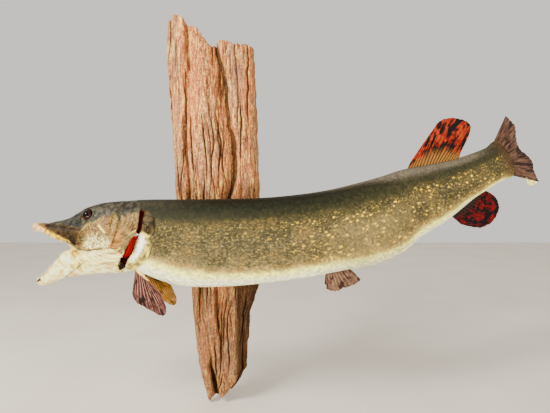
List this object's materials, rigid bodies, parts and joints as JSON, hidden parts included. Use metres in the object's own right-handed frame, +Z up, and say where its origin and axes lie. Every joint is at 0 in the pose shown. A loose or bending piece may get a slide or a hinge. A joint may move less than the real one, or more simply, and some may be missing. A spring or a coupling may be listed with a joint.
{
  "type": "mounted pike",
  "caption": "Taxidermy northern pike in a curved swimming pose with its mouth open, mounted across an upright slab of driftwood that hangs on a wall.",
  "frame": {"origin": "on the driftwood's flat back, behind the fish's trunk and about half-way up the slab", "axes": "+X from the fish's head to its tail, +Y into the wall through the flat back, +Z up the slab"},
  "size_m": [1.011, 0.186, 0.8365],
  "materials": {
    "body_skin": "varnished",
    "head_skin": "varnished",
    "jaw_skin": "varnished",
    "gill_flesh": "varnished",
    "glass_eye": "polished",
    "red_fin": "varnished",
    "brown_fin": "varnished",
    "driftwood": "weathered"
  },
  "bodies": {
    "root": {"upper_jaw": "head_skin", "head": "head_skin", "lower_jaw": "jaw_skin", "throat": "jaw_skin", "tongue": "gill_flesh", "gill_cover_left": "head_skin", "gill_cover_right": "head_skin", "gills_left": "gill_flesh", "gills_right": "gill_flesh", "eye_left": "glass_eye", "eye_right": "glass_eye", "trunk_front": "body_skin", "trunk_middle": "body_skin", "trunk_rear": "body_skin", "tail_stalk": "body_skin", "dorsal_fin": "red_fin", "anal_fin": "red_fin", "tail_fin": "brown_fin", "pectoral_fin_left": "brown_fin", "pectoral_fin_right": "brown_fin", "pelvic_fin_left": "brown_fin", "pelvic_fin_right": "brown_fin", "driftwood": "driftwood"}
  },
  "joints": []
}
